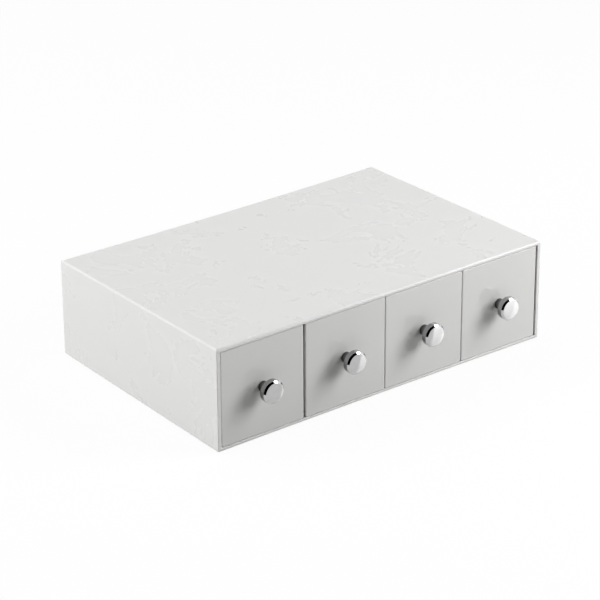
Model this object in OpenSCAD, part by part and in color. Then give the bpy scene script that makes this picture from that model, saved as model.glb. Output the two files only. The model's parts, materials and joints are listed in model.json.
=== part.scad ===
// Desktop unit with a row of small drawers in one moulded case, each with a metal knob.
// Millimetres. X runs along the row of fronts, the drawers open towards -Y, +Z is up.
// The origin is on the surface that the feet stand on, under the middle of case and knobs.

/* [Case] */
// Width of the case at its front
case_w = 270; // [240:1:300]
// Depth of the case, without the knobs
case_d = 180; // [170:1:220]
// Height of the case at its front, without the feet
case_h = 72.5; // [64:0.5:90]
// How far each side leans in from front to back, the moulding's draft
side_lean = 2; // [0:0.1:3]
// How far the top falls from front to back
top_fall = 2.8; // [0:0.1:4]
// Thickness of the top, bottom, sides and back
case_wall = 2.6; // [2:0.1:3.2]
// Radius of the four edges that run from front to back
case_edge_r = 1.5; // [0.5:0.25:2.25]
// Radius of the back's two level edges
back_edge_r = 3.2; // [1:0.1:4]
// Radius of the back's two upright edges
back_corner_r = 1.6; // [1:0.1:4]
// Radius of the outer edge of the front rim, at its top and bottom
rim_edge_r = 1.6; // [0.2:0.1:2]
// Radius of the outer edge of the front rim, at its sides
rim_side_edge_r = 0.5; // [0.2:0.1:2]
// Bevel of the inner edge of the front rim
mouth_bevel = 0.3; // [0.1:0.05:0.6]

/* [Dividers] */
// Number of drawers in the row
drawer_count = 4; // [2:1:6]
// Thickness of a divider
divider_t = 2; // [1.4:0.1:2.4]
// Distance from the back of a drawer front to the front edge of a divider
divider_setback = 12; // [0.5:0.5:20]
// Depth of the grooves in floor, ceiling and back that hold a divider
groove_depth = 0.6; // [0.4:0.1:1]
// Clearance on each side of a divider in its groove
groove_play = 0.1; // [0.05:0.05:0.3]

/* [Drawer fronts] */
// Thickness of a front panel
front_t = 1.6; // [1.2:0.1:3]
// Radius of the top and side edges of a front panel
front_edge_r = 0.8; // [0.2:0.1:1.2]
// Radius of the bottom edge of a front panel
front_low_edge_r = 0.2; // [0.1:0.1:1.2]
// Radius of the corners of a front panel, seen from the front
front_corner_r = 1; // [0.2:0.1:2]
// Gap between two fronts, and between a front and the side of the case
front_gap = 0.65; // [0.5:0.05:1]
// Gap above a front panel
front_gap_top = 0.7; // [0.2:0.05:1]
// Gap under a front panel
front_gap_bottom = 0.2; // [0.15:0.05:1]
// How far a front panel lies behind the rim
front_recess = 0.8; // [0:0.05:1.5]
// Where each drawer rests in its sideways play, from left to right
rest_shift = [0.15, 1, 0.6, 0.25]; // [-1:0.05:1]

/* [Drawer trays] */
// Thickness of a tray's side and back walls
tray_wall = 1.6; // [1.2:0.1:2.4]
// Thickness of a tray's floor
tray_floor = 1.6; // [1.2:0.1:2.4]
// Outer radius of a tray's upright back corners
tray_corner_r = 4; // [2.5:0.25:8]
// Height left free between a tray's walls and the ceiling
tray_headroom = 9; // [6:0.5:30]
// Clearance between the front end of a tray and a divider
tray_side_play = 1.3; // [1.1:0.05:1.6]
// Clearance between a shut tray and the back of the case
tray_back_play = 0.3; // [0.2:0.1:1]

/* [Runners and stops] */
// Width of a runner rib
runner_w = 1.6; // [1:0.1:4]
// Height of a runner rib
runner_h = 0.8; // [0.5:0.1:1.5]
// Distance between a drawer's two runner ribs
runner_spacing = 44; // [20:1:50]
// Clearance between a runner rib and the tray
runner_play = 0.15; // [0.1:0.05:0.3]
// How far a drawer pulls out before its stop
drawer_travel = 140; // [80:1:150]
// Width of a catch under the ceiling
catch_w = 26; // [10:1:40]
// Thickness of a catch
catch_t = 1.8; // [1.2:0.1:3]
// How far a catch hangs down
catch_drop = 5.2; // [2:0.1:7]
// Width of the stop tab on a tray's back
tab_w = 20; // [8:1:40]
// Clearance between the stop tab and the ceiling
tab_headroom = 0.8; // [0.4:0.1:1.5]
// Clearance between stop tab and catch at full travel
stop_play = 0.3; // [0.2:0.1:1]

/* [Knobs] */
// Diameter of a knob's head
knob_d = 16; // [10:0.5:22]
// Thickness of a knob's head at its middle
knob_head_t = 5.3; // [3:0.1:8]
// Bevel between the head's face and its side
knob_bevel = 1.2; // [0.3:0.1:1.5]
// Bevel at the back of the head
knob_back_bevel = 0.4; // [0.1:0.1:1]
// Radius of the slight crown on the head's face
knob_crown_r = 90; // [50:5:300]
// Diameter of a knob's neck
knob_neck_d = 7.5; // [6:0.25:9]
// Length of a knob's neck
knob_neck_l = 7.5; // [4:0.25:12]

/* [Knob screws] */
// Thread diameter
screw_d = 4; // [3:0.5:4]
// Length under the head
screw_l = 10; // [8:1:11]
// Radial clearance of the screw in the knob
screw_play = 0.05; // [0.02:0.01:0.1]
// Free depth past the screw's tip in the knob
bore_spare = 1; // [0.5:0.25:1.5]
// Radial clearance of the screw in front panel and washer
hole_play = 0.15; // [0.1:0.05:0.3]
// Diameter of the screw head
screw_head_d = 8; // [6.5:0.25:9]
// Height of the screw head
screw_head_t = 2.6; // [1.8:0.1:3.2]
// Radius of the domed top of the screw head
screw_dome_r = 6.5; // [5:0.5:12]
// Span of the cross recess
recess_span = 4.4; // [3:0.1:5]
// Width of each arm of the cross recess
recess_w = 1; // [0.6:0.1:1.3]
// Depth of the cross recess
recess_depth = 1.7; // [1:0.1:1.8]
// Diameter of a washer
washer_d = 9; // [8:0.25:12]
// Thickness of a washer
washer_t = 0.8; // [0.5:0.1:1.2]

/* [Feet] */
// Diameter of a foot
foot_d = 12; // [8:0.5:18]
// Thickness of a foot
foot_t = 1.5; // [1.2:0.1:3]
// Depth of the recess that a foot is stuck in
foot_sunk = 0.5; // [0.2:0.1:0.8]
// Radial clearance of a foot in its recess
foot_play = 0.2; // [0.1:0.05:0.5]
// Distance from the middle of a foot to the outer faces of the case
foot_inset = 16; // [12:1:30]

/* [Hidden] */
$fn = 72;
over = 1; // how far a cut runs past the faces that it opens
crossing = 0.001; // how far a rounding's circle crosses the sides that it would just touch

inner_w = case_w - 2 * case_wall;
inner_h = case_h - 2 * case_wall;
pitch = (inner_w - front_gap) / drawer_count;
front_w = pitch - front_gap;
front_h = inner_h - front_gap_top - front_gap_bottom;
tray_w = pitch - divider_t - 2 * tray_side_play;

knob_l = knob_neck_l + knob_head_t;
case_front_y = (knob_l - front_recess - case_d) / 2;
front_y = case_front_y + front_recess;
front_back_y = front_y + front_t;
inner_back_y = case_front_y + case_d - case_wall;
tray_back_y = inner_back_y - tray_back_play;
divider_y = front_back_y + divider_setback;
catch_back_y = tray_back_y - tray_wall - stop_play - drawer_travel;

shell_z = foot_t - foot_sunk;
floor_z = shell_z + case_wall;
ceiling_z = floor_z + inner_h;
front_z = floor_z + front_gap_bottom;
knob_z = front_z + front_h / 2;
tray_z = floor_z + runner_h + runner_play;
tray_top_z = ceiling_z - tray_headroom;

drawers = [for (i = [0 : drawer_count - 1]) i];
dividers = [for (i = [0 : drawer_count - 2]) i];
corners = [
    ["front_left", -1, -1],
    ["front_right", 1, -1],
    ["back_left", -1, 1],
    ["back_right", 1, 1]
];

shell_colour = [0.88, 0.88, 0.87];
divider_colour = [0.84, 0.84, 0.83];
front_colour = [0.8, 0.8, 0.79];
chrome_colour = [0.75, 0.76, 0.78];
steel_colour = [0.62, 0.63, 0.65];
rubber_colour = [0.2, 0.2, 0.21];

function divider_name(i) = str("divider_", i + 1);
function foot_name(c) = str("foot_", c[0]);
function tray_name(i) = str("drawer_tray_", i + 1);
function knob_name(i) = str("knob_", i + 1);
function screw_name(i) = str("knob_screw_", i + 1);
function washer_name(i) = str("knob_washer_", i + 1);

// Middle of a drawer's cell, of a drawer as it rests in it, and of a divider
function cell_x(i) = (i - (drawer_count - 1) / 2) * pitch;
function drawer_x(i) = cell_x(i) + rest_shift[i % len(rest_shift)];
function divider_x(i) = (i - (drawer_count - 2) / 2) * pitch;

// How far a side has leaned in at a depth, the ceiling there, and half the width of a tray there
function lean_at(y) = side_lean * (y - case_front_y) / case_d;
function ceiling_at(y) = ceiling_z - top_fall * (y - case_front_y) / case_d;
function tray_half_w(y) = tray_w / 2 - lean_at(y);

// ---- shapes that several pieces use ----

// What is cut off a corner at the origin to round it. One side runs along +X, the other is
// turned from it by the given angle.
module corner_waste(r, angle = 90) {
    reach = r / tan(angle / 2);
    grow = (r + over) / r;
    translate([reach, r])
        difference() {
            polygon(grow * [
                [0, 0],
                reach * [cos(angle), sin(angle)] - [reach, r],
                [-reach, -r],
                [0, -r]
            ]);
            circle(r + crossing);
        }
}

// A convex outline with its own radius at each corner, or none, the corners anticlockwise
module rounded_outline(corners, radii) {
    last = len(corners) - 1;
    difference() {
        polygon(corners);
        for (k = [0 : last])
            if (radii[k] > 0) {
                ahead = corners[k == last ? 0 : k + 1] - corners[k];
                behind = corners[k == 0 ? last : k - 1] - corners[k];
                inside = acos(ahead * behind / (norm(ahead) * norm(behind)));
                translate(corners[k])
                    rotate(atan2(ahead[1], ahead[0])) corner_waste(radii[k], inside);
            }
    }
}

module rounded_rect(w, h, radii) {
    rounded_outline([[0, 0], [w, 0], [w, h], [0, h]], radii);
}

// A block whose rounded edges come from its outline in plan, from the front and from the side
module soft_block(w, d, h, plan, face, side) {
    intersection() {
        linear_extrude(h) rounded_rect(w, d, plan);
        translate([0, d, 0]) rotate([90, 0, 0]) linear_extrude(d) rounded_rect(w, h, face);
        rotate([90, 0, 90]) linear_extrude(w) rounded_rect(d, h, side);
    }
}

// A frustum at y = 0 that narrows by 45 degrees, from a bevel's width outside a mouth to as far
// inside it
module mouth_cut(w, h, bevel) {
    deep = 2 * bevel;
    plan = [[-bevel, 0], [w + bevel, 0], [w - bevel, deep], [bevel, deep]];
    side = [[0, -bevel], [0, h + bevel], [deep, h - bevel], [deep, bevel]];
    intersection() {
        translate([0, 0, -bevel]) linear_extrude(h + 2 * bevel) polygon(plan);
        translate([-bevel, 0, 0]) rotate([90, 0, 90]) linear_extrude(w + 2 * bevel) polygon(side);
    }
}

// A slab from one depth to another, w wide, whose top follows the ceiling at a distance above it
module under_ceiling(w, y0, y1, low, above = 0) {
    side = [[y0, low], [y1, low], [y1, ceiling_at(y1) + above], [y0, ceiling_at(y0) + above]];
    translate([-w / 2, 0, 0]) rotate([90, 0, 90]) linear_extrude(w) polygon(side);
}

// Moves its children to a drawer's knob axis, with +Z pointing out of the drawer front
module on_knob_axis(i, y) {
    translate([drawer_x(i), y, knob_z]) rotate([90, 0, 0]) children();
}

// ---- case ----

// What rounds the right-hand bottom edge from front to back, or with a rise the top one
// turned over. The edge starts at the origin.
module long_edge_waste(rise = 0) {
    slope = atan(rise / case_d);
    lean = atan(side_lean / case_d);
    turn = atan(side_lean / norm([case_d, rise]));
    inside = 180 - acos(sin(slope) * sin(lean));
    rotate([slope, 0, 0])
        rotate([90, 0, 180 + turn])
            translate([0, 0, -over])
                linear_extrude(case_d + 3 * over) corner_waste(case_edge_r, inside);
}

module case_outside() {
    half = case_w / 2;
    back_half = half - side_lean;
    plan = [[-half, 0], [half, 0], [back_half, case_d], [-back_half, case_d]];
    side = [[0, 0], [case_d, 0], [case_d, case_h - top_fall], [0, case_h]];
    difference() {
        intersection() {
            linear_extrude(case_h)
                rounded_outline(plan, [rim_side_edge_r, rim_side_edge_r, back_corner_r, back_corner_r]);
            translate([-half, 0, 0])
                rotate([90, 0, 90])
                    linear_extrude(case_w)
                        rounded_outline(side, [rim_edge_r, back_edge_r, back_edge_r, rim_edge_r]);
        }
        for (flip = [0, 1])
            mirror([flip, 0, 0]) {
                translate([half, 0, 0]) long_edge_waste();
                translate([half, 0, case_h]) mirror([0, 0, 1]) long_edge_waste(top_fall);
            }
    }
}

module case_inside() {
    y0 = case_front_y - over;
    y1 = inner_back_y;
    half0 = inner_w / 2 - lean_at(y0);
    half1 = inner_w / 2 - lean_at(y1);
    intersection() {
        linear_extrude(case_h + shell_z)
            polygon([[-half0, y0], [half0, y0], [half1, y1], [-half1, y1]]);
        under_ceiling(case_w, y0, y1, floor_z);
    }
}

// One groove round floor, back and ceiling
module divider_groove(i) {
    translate([divider_x(i), 0, 0])
        under_ceiling(
            divider_t + 2 * groove_play,
            divider_y - groove_play,
            inner_back_y + groove_depth,
            floor_z - groove_depth,
            groove_depth
        );
}

module runners(i) {
    for (side = [-1, 1])
        translate([cell_x(i) + side * runner_spacing / 2 - runner_w / 2, divider_y, floor_z])
            cube([runner_w, inner_back_y - divider_y, runner_h]);
}

module catch(i) {
    low = ceiling_at(catch_back_y) - catch_drop;
    translate([cell_x(i) - catch_w / 2, catch_back_y - catch_t, low])
        cube([catch_w, catch_t, catch_drop + over]);
}

module foot_recess(c) {
    translate([foot_x(c), foot_y(c), shell_z - over])
        cylinder(h = foot_sunk + over, d = foot_d + 2 * foot_play);
}

module case_shell() {
    color(shell_colour) {
        difference() {
            translate([0, case_front_y, shell_z]) case_outside();
            case_inside();
            translate([-inner_w / 2, case_front_y, floor_z]) mouth_cut(inner_w, inner_h, mouth_bevel);
            for (i = dividers) divider_groove(i);
            for (c = corners) foot_recess(c);
        }
        for (i = drawers) {
            runners(i);
            catch(i);
        }
    }
}

module divider(i) {
    held = groove_depth - groove_play;
    color(divider_colour)
        translate([divider_x(i), 0, 0])
            under_ceiling(divider_t, divider_y, inner_back_y + held, floor_z - held, held);
}

// ---- feet ----

function foot_x(c) = c[1] * (case_w / 2 - foot_inset);
function foot_y(c) = case_front_y + case_d / 2 + c[2] * (case_d / 2 - foot_inset);

module foot(c) {
    color(rubber_colour)
        translate([foot_x(c), foot_y(c), 0]) cylinder(h = foot_t, d = foot_d);
}

// ---- drawers ----

module front_panel() {
    e = front_edge_r;
    c = front_corner_r;
    side = [front_low_edge_r, 0, 0, e];
    soft_block(front_w, front_t, front_h, [e, e, 0, 0], [c, c, c, c], side);
}

// Plan of a tray from a depth to its back, or of its hollow, which lies inside it by a wall
module tray_plan(y0, wall, front_r, back_r) {
    y1 = tray_back_y - wall;
    half0 = tray_half_w(y0) - wall;
    half1 = tray_half_w(y1) - wall;
    rounded_outline(
        [[-half0, y0], [half0, y0], [half1, y1], [-half1, y1]],
        [front_r, front_r, back_r, back_r]
    );
}

module drawer_tray(i) {
    hollow_r = tray_corner_r - tray_wall;
    tab_top = ceiling_at(tray_back_y) - tab_headroom;
    color(front_colour)
        translate([drawer_x(i), 0, 0])
            difference() {
                union() {
                    translate([-front_w / 2, front_y, front_z]) front_panel();
                    translate([0, 0, tray_z])
                        linear_extrude(tray_top_z - tray_z)
                            tray_plan(front_back_y - over, 0, over / 2, tray_corner_r);
                    translate([-tab_w / 2, tray_back_y - tray_wall, tray_z + tray_floor])
                        cube([tab_w, tray_wall, tab_top - tray_z - tray_floor]);
                }
                translate([0, 0, tray_z + tray_floor])
                    linear_extrude(case_h)
                        tray_plan(front_back_y, tray_wall, hollow_r, hollow_r);
                translate([0, front_y - over, knob_z])
                    rotate([-90, 0, 0])
                        cylinder(h = front_t + 2 * over, d = screw_d + 2 * hole_play);
            }
}

// ---- knobs and what holds them ----

module knob(i) {
    r = knob_d / 2;
    face_r = r - knob_bevel;
    face_z = knob_l - knob_crown_r + sqrt(pow(knob_crown_r, 2) - pow(face_r, 2));
    profile = [
        [0, 0],
        [knob_neck_d / 2, 0],
        [knob_neck_d / 2, knob_neck_l],
        [r - knob_back_bevel, knob_neck_l],
        [r, knob_neck_l + knob_back_bevel],
        [r, face_z - knob_bevel],
        [face_r - over, face_z + over],
        [face_r - over, knob_l + over],
        [0, knob_l + over]
    ];
    bore_depth = screw_l - washer_t - front_t + bore_spare;
    color(chrome_colour)
        on_knob_axis(i, front_y)
            difference() {
                intersection() {
                    rotate_extrude() polygon(profile);
                    translate([0, 0, knob_l - knob_crown_r]) sphere(knob_crown_r, $fn = 200);
                }
                translate([0, 0, -over]) cylinder(h = bore_depth + over, d = screw_d + 2 * screw_play);
            }
}

module washer(i) {
    color(steel_colour)
        on_knob_axis(i, front_back_y + washer_t)
            difference() {
                cylinder(h = washer_t, d = washer_d);
                translate([0, 0, -over])
                    cylinder(h = washer_t + 2 * over, d = screw_d + 2 * hole_play);
            }
}

// A pan-head screw with a cross recess, its head's top at z = 0 and its tip pointing up
module knob_screw(i) {
    color(steel_colour)
        on_knob_axis(i, front_back_y + washer_t + screw_head_t) {
            difference() {
                intersection() {
                    cylinder(h = screw_head_t, d = screw_head_d);
                    translate([0, 0, screw_dome_r]) sphere(screw_dome_r, $fn = 120);
                }
                for (turn = [0, 90])
                    rotate(turn)
                        translate([-recess_span / 2, -recess_w / 2, -over])
                            cube([recess_span, recess_w, recess_depth + over]);
            }
            translate([0, 0, screw_head_t]) cylinder(h = screw_l, d = screw_d);
        }
}

// ---- assembly ----

case_shell();
for (i = dividers) divider(i);
for (c = corners) foot(c);
for (i = drawers) drawer_tray(i);
for (i = drawers) knob(i);
for (i = drawers) knob_screw(i);
for (i = drawers) washer(i);
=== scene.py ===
"""Looks of a desktop unit with four small drawers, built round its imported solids.

Lengths are metres in the construction's own frame: X along the row of fronts, the drawers open
towards -Y, +Z up, the floor at z = 0.
"""

import json
import math

import bpy
import numpy as np
from mathutils import Matrix, Vector


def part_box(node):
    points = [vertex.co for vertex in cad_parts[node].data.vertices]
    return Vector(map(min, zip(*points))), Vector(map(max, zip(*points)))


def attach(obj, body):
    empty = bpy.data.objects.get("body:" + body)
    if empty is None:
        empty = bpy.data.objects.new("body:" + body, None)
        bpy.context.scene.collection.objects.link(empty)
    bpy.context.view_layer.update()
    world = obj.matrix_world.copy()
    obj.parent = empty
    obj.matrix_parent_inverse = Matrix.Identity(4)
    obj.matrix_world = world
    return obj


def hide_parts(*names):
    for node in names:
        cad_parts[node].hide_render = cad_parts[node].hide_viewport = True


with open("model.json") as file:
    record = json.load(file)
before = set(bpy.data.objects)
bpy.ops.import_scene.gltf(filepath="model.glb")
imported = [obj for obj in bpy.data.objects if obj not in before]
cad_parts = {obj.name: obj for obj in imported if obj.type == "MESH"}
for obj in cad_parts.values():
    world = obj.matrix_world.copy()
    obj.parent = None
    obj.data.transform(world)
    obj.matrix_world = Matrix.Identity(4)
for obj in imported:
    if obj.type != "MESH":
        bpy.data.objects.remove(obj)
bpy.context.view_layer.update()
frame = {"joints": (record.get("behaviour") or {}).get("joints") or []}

MM = 0.001
DRAWERS = (1, 2, 3, 4)
DIVIDERS = (1, 2, 3)
CORNERS = ("front_left", "front_right", "back_left", "back_right")

# ---- sizes of the construction that its boxes do not tell ----
SIDE_LEAN = 2.0 * MM
TOP_FALL = 2.8 * MM
CASE_WALL = 2.6 * MM
CASE_EDGE_R = 1.5 * MM
BACK_EDGE_R = 3.2 * MM
BACK_CORNER_R = 1.6 * MM
RIM_EDGE_R = 1.6 * MM
RIM_SIDE_EDGE_R = 0.5 * MM
TOP_SAG = 0.95 * MM
UNDERSIDE_BOW = 0.6 * MM
MOUTH_EDGE_R = 0.3 * MM
INNER_CORNER_R = 0.5 * MM
INNER_BACK_R = 0.8 * MM
GROOVE_PLAY = 0.1 * MM
RUNNER_W = 1.6 * MM
RUNNER_H = 0.8 * MM
RUNNER_SPACING = 44.0 * MM
CATCH_W = 26.0 * MM
CATCH_T = 1.8 * MM
CATCH_DROP = 5.2 * MM
STOP_PLAY = 0.3 * MM
FOOT_SUNK = 0.5 * MM
FOOT_PLAY = 0.2 * MM
FRONT_T = 1.6 * MM
FRONT_EDGE_R = 0.8 * MM
FRONT_LOW_EDGE_R = 0.2 * MM
FRONT_CORNER_R = 1.0 * MM
TRAY_WALL = 1.6 * MM
TRAY_FLOOR = 1.6 * MM
TRAY_W = 61.4375 * MM
TRAY_HEADROOM = 9.0 * MM
TRAY_BACK_CORNER_R = 4.0 * MM
TRAY_FRONT_CORNER_R = 1.2 * MM
TRAY_LIFT = 0.75 * MM
TAB_W = 20.0 * MM
TAB_HEADROOM = 0.8 * MM
KNOB_HEAD_T = 5.3 * MM
KNOB_BEVEL = 1.2 * MM
KNOB_CROWN_R = 90.0 * MM
KNOB_NECK_D = 7.5 * MM
KNOB_BORE_D = 4.1 * MM
KNOB_BORE_L = 8.6 * MM
SCREW_D = 4.0 * MM
SCREW_HEAD_T = 2.6 * MM
SCREW_DOME_R = 6.5 * MM
RECESS_SPAN = 4.4 * MM
RECESS_W = 1.0 * MM
RECESS_DEPTH = 1.7 * MM
SCREW_HOLE_D = 4.3 * MM

# ---- small edges that only the looks have ----
LEAST_R = 0.1 * MM
AXIS_R = 0.15 * MM
DIVIDER_NOSE_SHARE = 0.85
DIVIDER_HEEL_R = 0.2 * MM
DIVIDER_CORNER_R = 0.12 * MM
FOOT_LOW_EDGE_R = 0.45 * MM
FOOT_TOP_EDGE_R = 0.2 * MM
FRONT_HEEL_R = 0.15 * MM
FRONT_LEAST_CORNER_R = 0.2 * MM
TRAY_DRAFT = 0.2 * MM
TRAY_REACH = 8 * MM
TRAY_INNER_R = 1.8 * MM
TRAY_RIM_R = 0.5 * MM
TRAY_UNDER_R = 1.2 * MM
TRAY_LEAST_CORNER_R = 0.6 * MM
KNOB_BORE_END_R = 0.3 * MM
KNOB_BORE_MOUTH_R = 0.1 * MM
KNOB_FOOT_R = 0.15 * MM
KNOB_NECK_R = 0.5 * MM
KNOB_HEAD_BACK_R = 0.45 * MM
KNOB_BEVEL_EDGE_R = 0.2 * MM
KNOB_CROWN_INSET = 0.6 * MM
KNOB_CROWN_RISE = 0.04 * MM
SCREW_DOME_INSET = 0.05 * MM
SCREW_HEAD_EDGE_R = 0.25 * MM
SCREW_NECK_R = 0.1 * MM
SCREW_TIP_CHAMFER = 0.5 * MM
WASHER_EDGE_R = 0.12 * MM
RECESS_TAPER = 0.7
CUT_OVER = 1.0 * MM

CASE_LOW, CASE_HIGH = (np.array(corner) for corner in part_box("case_shell"))
CASE_FRONT = CASE_LOW[1]
CASE_BACK = CASE_HIGH[1]
CASE_MIDDLE = (CASE_LOW + CASE_HIGH) / 2
INNER_BACK = CASE_BACK - CASE_WALL
FLOOR_Z = CASE_LOW[2] + CASE_WALL
CEILING_Z = CASE_HIGH[2] - CASE_WALL


# ---- camera ----

CAMERA_AZIMUTH = math.radians(-37.512)
CAMERA_ELEVATION = math.radians(25.102)
CAMERA_ROLL = math.radians(-0.3)
CAMERA_DISTANCE = 1.8463
CAMERA_LENS = 164.07
CAMERA_SENSOR_W = 36.0
CAMERA_AIM_HEIGHT = 35.0 * MM
CAMERA_AIM_OFFSET = (-0.384 * MM, -0.495 * MM)


def make_camera():
    """Looks at the middle of the case from its front left, a little from above."""
    azimuth, elevation = CAMERA_AZIMUTH, CAMERA_ELEVATION
    back = Vector((
        math.sin(azimuth) * math.cos(elevation),
        -math.cos(azimuth) * math.cos(elevation),
        math.sin(elevation),
    ))
    level = Vector((math.cos(azimuth), math.sin(azimuth), 0.0))
    upright = back.cross(level)
    right = level * math.cos(CAMERA_ROLL) + upright * math.sin(CAMERA_ROLL)
    up = upright * math.cos(CAMERA_ROLL) - level * math.sin(CAMERA_ROLL)
    aim = Vector((CASE_MIDDLE[0], CASE_MIDDLE[1], CASE_LOW[2] + CAMERA_AIM_HEIGHT))
    aim += level * CAMERA_AIM_OFFSET[0] + upright * CAMERA_AIM_OFFSET[1]
    camera = bpy.data.objects.new("camera", bpy.data.cameras.new("camera"))
    bpy.context.scene.collection.objects.link(camera)
    camera.data.lens = CAMERA_LENS
    camera.data.sensor_width = CAMERA_SENSOR_W
    camera.data.clip_start, camera.data.clip_end = 0.05, 50.0
    place = Matrix((right, up, back)).transposed().to_4x4()
    place.translation = aim + back * CAMERA_DISTANCE
    camera.matrix_world = place
    bpy.context.scene.camera = camera


# ---- node tools ----


def put(tree, kind, inputs=None, **settings):
    """Adds one shader node, sets its settings, and fills its inputs with values or links."""
    made = tree.nodes.new("ShaderNode" + kind)
    for name, value in settings.items():
        setattr(made, name, value)
    for name, value in (inputs or {}).items():
        if isinstance(value, bpy.types.NodeSocket):
            tree.links.new(value, made.inputs[name])
        else:
            made.inputs[name].default_value = value
    return made


def maths(tree, operation, *values, clamp=False):
    """One Math node's result. values are numbers or sockets."""
    numbered = dict(enumerate(values))
    return put(tree, "Math", numbered, operation=operation, use_clamp=clamp).outputs[0]


def spread(tree, value, from_range, to_range):
    """Maps a value from one range to another, held at its ends."""
    return put(tree, "MapRange", {
        "Value": value,
        "From Min": from_range[0],
        "From Max": from_range[1],
        "To Min": to_range[0],
        "To Max": to_range[1],
    }).outputs["Result"]


def effect(name, inputs, outputs):
    """A new node group with named sockets, and its input and output nodes."""
    tree = bpy.data.node_groups.new(name, "ShaderNodeTree")
    for label, kind, value in inputs:
        socket = tree.interface.new_socket(name=label, in_out="INPUT", socket_type="NodeSocket" + kind)
        if value is not None:
            socket.default_value = value
    for label, kind in outputs:
        tree.interface.new_socket(name=label, in_out="OUTPUT", socket_type="NodeSocket" + kind)
    return tree, tree.nodes.new("NodeGroupInput"), tree.nodes.new("NodeGroupOutput")


def use(tree, group, inputs):
    """Places a node group in a material and returns its outputs."""
    return put(tree, "Group", inputs, node_tree=group).outputs


# ---- effects that several materials share ----


def make_moulded_flow():
    """Height of a polished moulding: long waves where the wall shrank, and the tool's fine peel."""
    tree, given, result = effect(
        "moulded_flow",
        [("Place", "Vector", None), ("Wave Length", "Float", 0.05), ("Peel Length", "Float", 0.004),
         ("Peel Share", "Float", 0.06)],
        [("Height", "Float")],
    )
    wave_scale = maths(tree, "DIVIDE", 1.0, given.outputs["Wave Length"])
    peel_scale = maths(tree, "DIVIDE", 1.0, given.outputs["Peel Length"])
    waves = put(tree, "TexNoise", {
        "Vector": given.outputs["Place"], "Scale": wave_scale, "Detail": 1.0, "Roughness": 0.4,
    })
    peel = put(tree, "TexNoise", {
        "Vector": given.outputs["Place"], "Scale": peel_scale, "Detail": 2.0, "Roughness": 0.5,
    })
    small = maths(tree, "MULTIPLY", peel.outputs["Fac"], given.outputs["Peel Share"])
    height = maths(tree, "ADD", waves.outputs["Fac"], small)
    tree.links.new(height, result.inputs["Height"])
    return tree


def make_handling():
    """Where fingers and dust have dulled a surface: Smear in soft patches, Dust in fine specks."""
    tree, given, result = effect(
        "handling",
        [("Place", "Vector", None), ("Smear Size", "Float", 0.04), ("Speck Size", "Float", 0.0012)],
        [("Smear", "Float"), ("Dust", "Float")],
    )
    smear_scale = maths(tree, "DIVIDE", 1.0, given.outputs["Smear Size"])
    speck_scale = maths(tree, "DIVIDE", 1.0, given.outputs["Speck Size"])
    patches = put(tree, "TexNoise", {
        "Vector": given.outputs["Place"], "Scale": smear_scale, "Detail": 5.0, "Roughness": 0.62,
        "Distortion": 0.6,
    })
    cells = put(tree, "TexVoronoi", {"Vector": given.outputs["Place"], "Scale": speck_scale})
    fields = put(tree, "TexNoise", {
        "Vector": given.outputs["Place"], "Scale": smear_scale, "Detail": 2.0,
    })
    near_middle = spread(tree, cells.outputs["Distance"], (0.04, 0.16), (1.0, 0.0))
    dusty = spread(tree, fields.outputs["Fac"], (0.5, 0.68), (0.0, 1.0))
    smeared = spread(tree, patches.outputs["Fac"], (0.42, 0.7), (0.0, 1.0))
    tree.links.new(smeared, result.inputs["Smear"])
    tree.links.new(maths(tree, "MULTIPLY", near_middle, dusty), result.inputs["Dust"])
    return tree


def make_edge_mask_group():
    """Mask of the edges: how far the normal turns when the edges are rounded by Reach."""
    tree, given, result = effect(
        "edge_mask_group",
        [("Place", "Vector", None), ("Reach", "Float", 0.001), ("Breakup Size", "Float", 0.006)],
        [("Mask", "Float")],
    )
    rounded = put(tree, "Bevel", {"Radius": given.outputs["Reach"]}, samples=4)
    flat = put(tree, "NewGeometry")
    facing = put(tree, "VectorMath", {0: rounded.outputs["Normal"], 1: flat.outputs["Normal"]},
                 operation="DOT_PRODUCT")
    edge = spread(tree, facing.outputs["Value"], (0.995, 0.85), (0.0, 1.0))
    breakup_scale = maths(tree, "DIVIDE", 1.0, given.outputs["Breakup Size"])
    breakup = put(tree, "TexNoise", {
        "Vector": given.outputs["Place"], "Scale": breakup_scale, "Detail": 3.0,
    })
    broken = spread(tree, breakup.outputs["Fac"], (0.4, 0.65), (0.25, 1.0))
    tree.links.new(maths(tree, "MULTIPLY", edge, broken), result.inputs["Mask"])
    return tree


def make_fine_grain():
    """Height of an even matt texture, such as a spark-eroded tool leaves."""
    tree, given, result = effect(
        "fine_grain",
        [("Place", "Vector", None), ("Grain Size", "Float", 0.0004)],
        [("Height", "Float")],
    )
    scale = maths(tree, "DIVIDE", 1.0, given.outputs["Grain Size"])
    grain = put(tree, "TexNoise", {
        "Vector": given.outputs["Place"], "Scale": scale, "Detail": 2.0, "Roughness": 0.7,
    })
    tree.links.new(grain.outputs["Fac"], result.inputs["Height"])
    return tree


# ---- materials ----

CASE_COLOUR = (0.76, 0.76, 0.75)
CASE_WORN_COLOUR = (0.8, 0.8, 0.79)
CASE_ROUGHNESS = 0.27
DRAWER_COLOUR = (0.7, 0.7, 0.69)
# Colour at the drawers' edges and dust: dust, and mostly a painted highlight along the edges.
DRAWER_WEAR_AND_HIGHLIGHT_COLOUR = (0.92, 0.92, 0.91)
DRAWER_ROUGHNESS = 0.05
DIVIDER_COLOUR = (0.68, 0.68, 0.67)
DIVIDER_WORN_COLOUR = (0.76, 0.76, 0.75)
CHROME_COLOUR = (0.665, 0.665, 0.665)
CHROME_HAZE_COLOUR = (0.625, 0.625, 0.625)
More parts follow.
